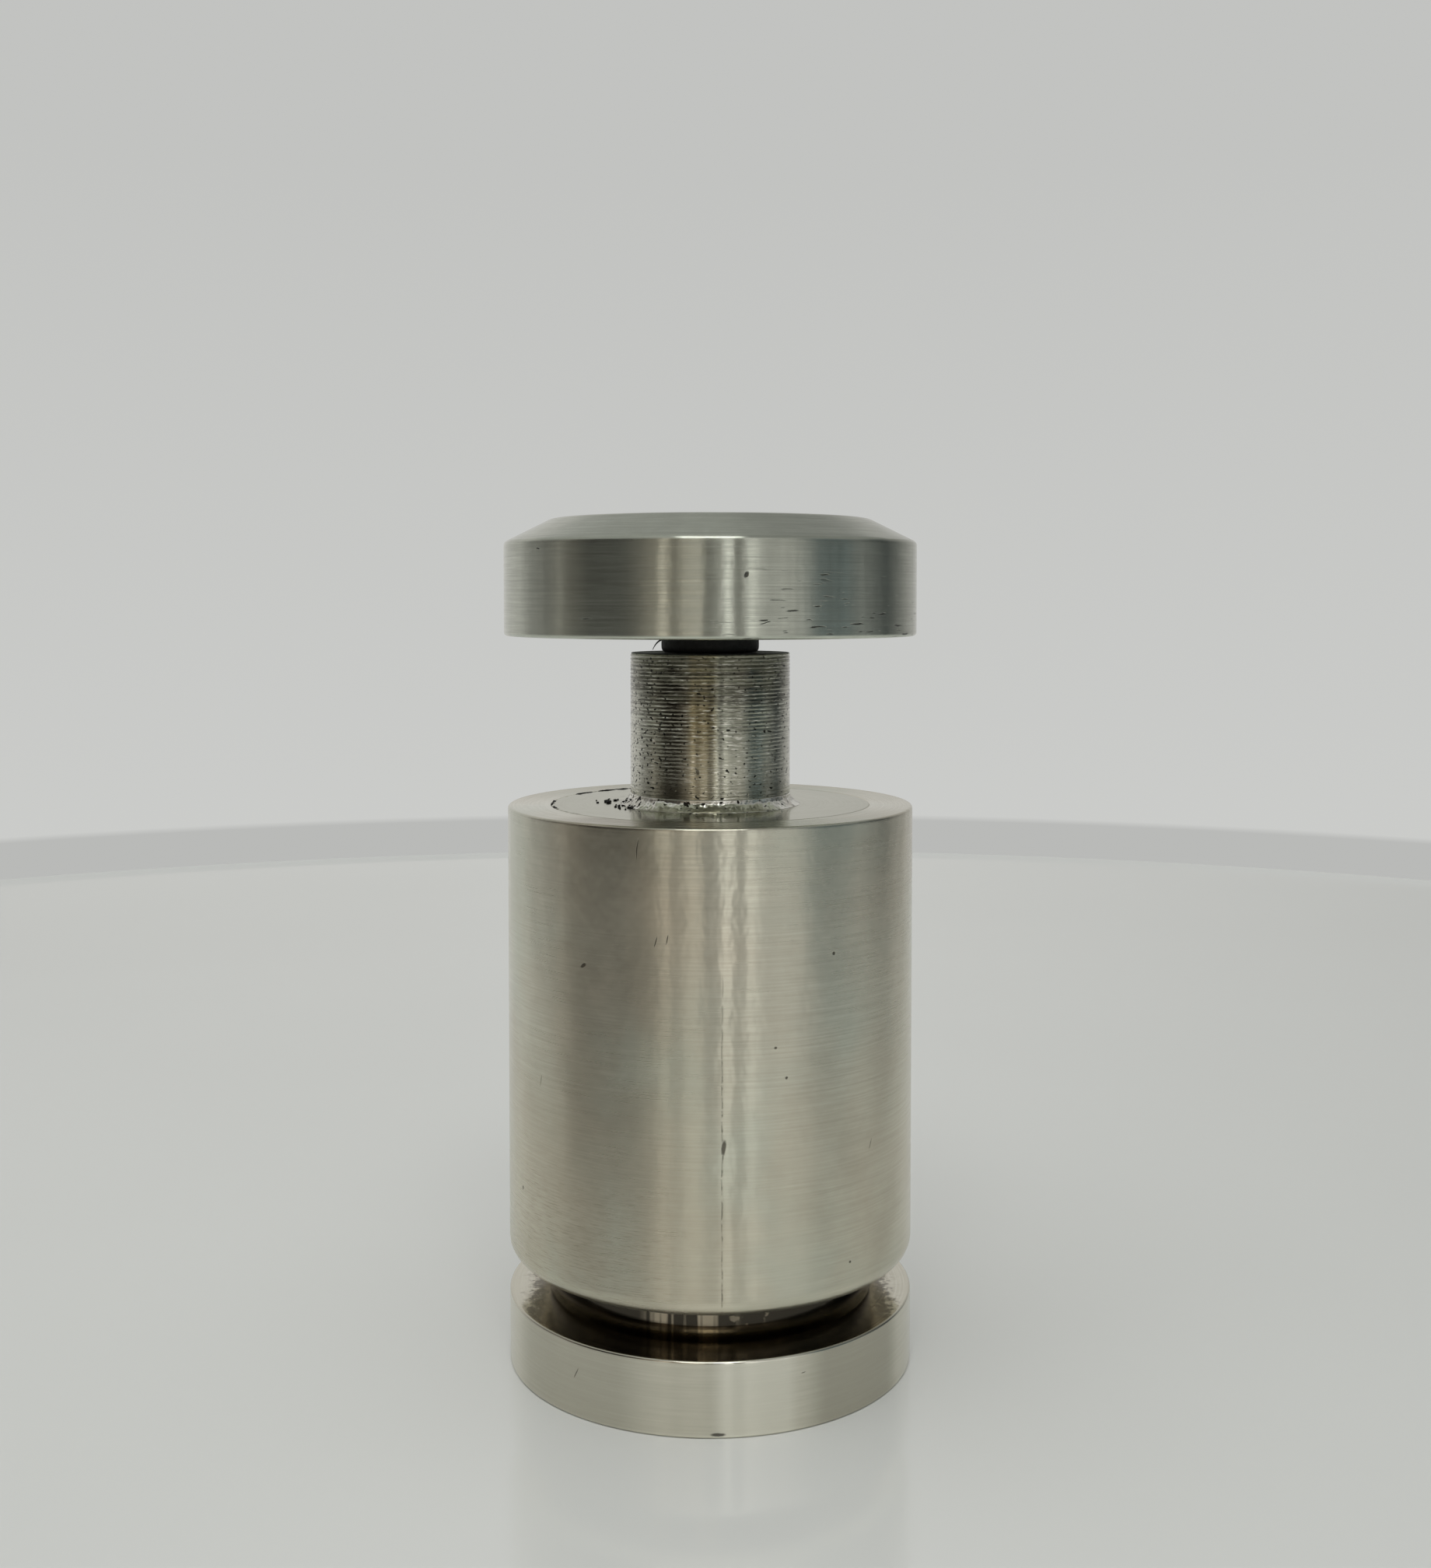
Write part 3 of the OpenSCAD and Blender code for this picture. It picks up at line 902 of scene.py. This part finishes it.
def make_cap(material):
    """Thick cap with a soft bevel, a flat top and a blind hole for the stud."""
    r = radius_of("cap_disc")
    low, top = span_of("cap_disc")
    hole = radius_of("cap_stud")
    hole_end = low + STUD_IN_CAP
    bevel_width = 5.8 * MM
    bevel_height = 2.9 * MM
    corners = [
        (0, hole_end, 0), (hole, hole_end, 0), (hole, low, 0.3 * MM), (r, low, 0.45 * MM),
        (r, top - bevel_height, 0.7 * MM), (r - bevel_width, top, 2.2 * MM), (0, top, 0)]
    piece = turn("cap_turned", with_supports(rounded(corners)))
    return finish_piece(piece, "cap", "cap_steel", material, "cap_disc")


def make_stud(material):
    """Threaded stud between the cap and the neck."""
    r = radius_of("cap_stud")
    low, top = span_of("cap_stud")
    pitch = 1.25 * MM
    point = 0.9 * MM
    edge = 0.3 * MM
    runout = 0.8 * MM
    rings = divided((r, low + point), (r, top - edge), 300)
    outline = [Vector((0, low)), Vector((r - point, low)), Vector((r, low + point))] + rings
    outline += [Vector((r, top - edge)), Vector((r - edge, top)), Vector((0, top))]
    shape = thread_shape(r, 0.72 * MM, pitch, low + runout, top - edge, runout)
    piece = turn("cap_stud_threaded", outline, 96, shape)
    return finish_piece(piece, "cap", "thread_steel", material, "cap_stud")


def add_strand(piece, start, end, thickness):
    """Adds a tapered, slightly bent strand of moulding flash to a ring's mesh."""
    builder = bmesh.new()
    builder.from_mesh(piece.data)
    along = end - start
    across = along.cross(Vector((0, 0, 1))).normalized()
    over = across.cross(along).normalized()
    steps, sides = 10, 8
    rows = []
    for i in range(steps + 1):
        share = i / steps
        middle = start.lerp(end, share) + over * (0.12 * along.length * math.sin(math.pi * share))
        half = thickness / 2 * (1 - 0.75 * share)
        row = []
        for k in range(sides):
            angle = TURN * k / sides
            side = across * (half * math.cos(angle)) + over * (half * math.sin(angle))
            row.append(builder.verts.new(middle + side))
        rows.append(row)
    for first, second in zip(rows, rows[1:]):
        for k in range(sides):
            after = (k + 1) % sides
            builder.faces.new((first[k], first[after], second[after], second[k])).smooth = True
    builder.faces.new(rows[0])
    builder.faces.new(rows[-1])
    bmesh.ops.recalc_face_normals(builder, faces=builder.faces)
    builder.to_mesh(piece.data)
    builder.free()


def make_ring(name, node, body, material, squareness):
    """Ring with a round cross-section at squareness 1, and a flatter, pressed one below that."""
    low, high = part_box(node)
    cord = (high.z - low.z) / 2
    centre_r = radius_of(node) - cord
    centre_z = (low.z + high.z) / 2
    points = 40
    outline = []
    for k in range(points):
        angle = TURN * k / points
        across = math.copysign(abs(math.cos(angle)) ** squareness, math.cos(angle))
        up = math.copysign(abs(math.sin(angle)) ** squareness, math.sin(angle))
        outline.append(Vector((centre_r + cord * across, centre_z + cord * up)))
    piece = turn(name, outline, 128)
    return finish_piece(piece, body, "black_rubber", material, node)


def make_cap_ring(material):
    """The cap's ring, pressed nearly square, with a strand of flash hanging off its left side."""
    piece = make_ring("cap_ring", "cap_o_ring", "cap_seal", material, 0.55)
    r = radius_of("cap_o_ring")
    low, top = span_of("cap_o_ring")
    start = Vector((-r * 0.93, 0.8 * MM, top - 0.3 * MM))
    end = Vector((-r - 1.1 * MM, 0.4 * MM, low + 0.25 * MM))
    add_strand(piece, start, end, 0.30 * MM)


# ---------------------------------------------------------------- room, light and camera

def sheet_round(name, outline, segments):
    """Open sheet swept round the Z axis from an (r, z) outline."""
    mesh = bpy.data.meshes.new(name)
    builder = bmesh.new()
    rings = []
    for r, z in outline:
        ring = []
        for k in range(segments):
            angle = TURN * k / segments
            ring.append(builder.verts.new((r * math.cos(angle), r * math.sin(angle), z)))
        rings.append(ring)
    for first, second in zip(rings, rings[1:]):
        for k in range(segments):
            after = (k + 1) % segments
            builder.faces.new((first[k], first[after], second[after], second[k])).smooth = True
    builder.to_mesh(mesh)
    builder.free()
    return placed(name, mesh)


def only_light(m, colour, strength):
    """Swaps a material's shader for plain light of one colour or a colour socket."""
    light = m.add("ShaderNodeEmission")
    if isinstance(colour, tuple):
        light.inputs["Color"].default_value = (*colour, 1)
    else:
        m.link(colour, light.inputs["Color"])
    m.link(strength, light.inputs["Strength"])
    m.tree.nodes.remove(m.shader)
    m.link(light.outputs[0], m.tree.nodes["Material Output"].inputs["Surface"])


def make_floor():
    """Round pale table top with a soft sheen."""
    m = Nodes("table_top")
    cloud = m.noise(m.scaled(1, 1, 1), 3.0, 3.0, 0.5)
    base = m.mix(m.remap(cloud, 0.3, 0.7), (0.76, 0.77, 0.75), (0.82, 0.83, 0.81))
    m.link(base, m.shader.inputs["Base Color"])
    m.shader.inputs["Roughness"].default_value = 0.10
    m.shader.inputs["Specular IOR Level"].default_value = 0.6
    floor = sheet_round("table", [(0.0005, 0), (0.1, 0), (ROOM_RADIUS, 0)], 96)
    floor.data.materials.append(m.material)


def make_wall():
    """Plain pale wall that glows in place of being lit (painted light), a little lighter towards its foot,
    with painted shade in a slightly darker band at the very bottom.
    """
    steps = 8
    outline = []
    for k in range(steps + 1):
        angle = math.pi / 2 * k / steps
        outline.append((ROOM_RADIUS + COVE_RADIUS * math.sin(angle), COVE_RADIUS * (1 - math.cos(angle))))
    outline.append((ROOM_RADIUS + COVE_RADIUS, ROOM_HEIGHT))
    wall = sheet_round("wall", outline, 96)
    m = Nodes("wall_glow")
    z = m.axes()[2]
    paint = m.remap(z, WALL_FOOT_HEIGHT, WALL_FADE_HEIGHT, WALL_LOW, WALL_HIGH)
    # painted shade: a darker band at the wall's very bottom
    above = m.remap(z, WALL_FOOT_HEIGHT - 0.001, WALL_FOOT_HEIGHT + 0.001)
    level = m.plus(m.times(m.math("SUBTRACT", paint, WALL_FOOT_SHADE), above), WALL_FOOT_SHADE)
    # painted light: the wall glows instead of being lit
    only_light(m, (0.99, 1.0, 0.975), level)
    wall.data.materials.append(m.material)


def tinted(level, warmth):
    """Light of a level between cool (-1), plain (0) and warm (1)."""
    end = Vector(WARM if warmth > 0 else COOL)
    return (*(Vector(PLAIN).lerp(end, abs(warmth)) * level), 1)


def make_surround():
    """Ring that only reflections see: light and dark bands all round, and a dark flag across its front."""
    m = Nodes("surround_bands")
    angle = m.azimuth()
    ramp = m.add("ShaderNodeValToRGB")
    m.link(m.remap(angle, -math.pi, math.pi), ramp.inputs["Fac"])
    stops = ramp.color_ramp.elements
    stops.remove(stops[1])
    for k, (degrees, level, warmth) in enumerate(SURROUND):
        place = (degrees + 180) / 360
        stop = stops.new(place) if k else stops[0]
        stop.position = place
        stop.color = tinted(level, warmth)
    streaks = m.noise(m.scaled(1, 1, 0.05), 48.0, 4.0, 0.65)
    side = m.math("ABSOLUTE", angle)
    front = m.remap(side, math.radians(140), math.radians(95), smooth=True)
    belt = between(m, m.axes()[2], FLAG_LOW, FLAG_HIGH, FLAG_SOFT)
    flag = m.remap(m.times(front, belt), 0.0, 1.0, SURROUND_GAIN, FLAG_LEVEL)
    streaked = m.plus(1.0, m.times(m.remap(streaks, 0.25, 0.75, -0.28, 0.28), front))
    only_light(m, ramp.outputs["Color"], m.times(streaked, flag))
    ring = sheet_round("surround", [(SURROUND_RADIUS, 0.0), (SURROUND_RADIUS, SURROUND_TOP)], 128)
    ring.data.materials.append(m.material)
    ring.visible_camera = False
    ring.visible_diffuse = False
    ring.visible_shadow = False
    ring.visible_transmission = False


def make_lights():
    """Even pale sky, brighter on the left, with a lamp's glow in it above the camera, and a soft panel."""
    world = bpy.data.worlds.new("room_light")
    world.use_nodes = True
    tree = world.node_tree

    def ramp(source, low, high, to_low=0.0, to_high=1.0):
        node = tree.nodes.new("ShaderNodeMapRange")
        tree.links.new(source, node.inputs["Value"])
        for key, value in (("From Min", low), ("From Max", high), ("To Min", to_low), ("To Max", to_high)):
            node.inputs[key].default_value = value
        return node.outputs["Result"]

    def combined(operation, first, second):
        node = tree.nodes.new("ShaderNodeMath")
        node.operation = operation
        tree.links.new(first, node.inputs[0])
        tree.links.new(second, node.inputs[1])
        return node.outputs["Value"]

    def inside(source, low, high, soft):
        rise = ramp(source, low - soft, low + soft)
        return combined("MULTIPLY", rise, ramp(source, high + soft, high - soft))

    direction = tree.nodes.new("ShaderNodeTexCoord")
    parts = tree.nodes.new("ShaderNodeSeparateXYZ")
    tree.links.new(direction.outputs["Generated"], parts.inputs[0])
    x, y, z = parts.outputs
    glow = combined("MULTIPLY", inside(x, -LAMP_HALF_WIDTH, LAMP_HALF_WIDTH, 0.03),
                    inside(z, LAMP_LOW, LAMP_HIGH, 0.02))
    glow = combined("MULTIPLY", glow, ramp(y, -0.2, -0.3, 0.0, LAMP_GLOW))
    level = combined("ADD", ramp(x, -0.3, 0.3, SKY_LEFT, SKY_RIGHT), glow)
    tree.links.new(level, tree.nodes["Background"].inputs["Strength"])
    tree.nodes["Background"].inputs["Color"].default_value = (0.98, 1.0, 0.97, 1)
    bpy.context.scene.world = world
    lamp = bpy.data.lights.new("ceiling_panel", "AREA")
    lamp.shape = "SQUARE"
    lamp.size = PANEL_SIZE
    lamp.energy = PANEL_ENERGY
    panel = placed("ceiling_panel", lamp)
    panel.location = PANEL_PLACE
    panel.rotation_euler = (PANEL_AIM - PANEL_PLACE).to_track_quat("-Z", "Y").to_euler()
    panel.visible_camera = False
    panel.visible_glossy = False


def make_camera():
    """The photograph's view."""
    data = bpy.data.cameras.new("camera")
    data.lens = CAMERA_LENS
    data.shift_x = CAMERA_SHIFT_X
    data.shift_y = CAMERA_SHIFT_Y
    data.clip_start = 0.01
    camera = placed("camera", data)
    camera.location = (0, -CAMERA_DISTANCE, CAMERA_HEIGHT)
    camera.rotation_euler = (math.radians(90 - CAMERA_PITCH), 0, 0)
    bpy.context.scene.camera = camera


# ---------------------------------------------------------------- build

def build():
    """Makes every piece, then the room, the lights and the camera."""
    steel_thread = thread_material()
    rubber = rubber_material()
    disc_top = span_of("wall_disc")[1]
    face_z = span_of("front_plug")[1]
    make_wall_disc(disc_material())
    make_spigot(steel_thread, disc_top)
    make_ring("barrel_ring", "barrel_o_ring", "barrel_seal", rubber, 1.0)
    make_barrel(barrel_material())
    make_plug(plug_material())
    make_neck(neck_material(), face_z)
    make_weld(weld_material())
    make_grit(rubber, face_z)
    make_lock_screw(screw_material())
    make_cap_ring(rubber)
    make_cap(cap_material())
    make_stud(steel_thread)
    make_floor()
    make_wall()
    make_surround()
    make_lights()
    make_camera()
    bpy.context.scene.view_settings.view_transform = "Standard"


build()
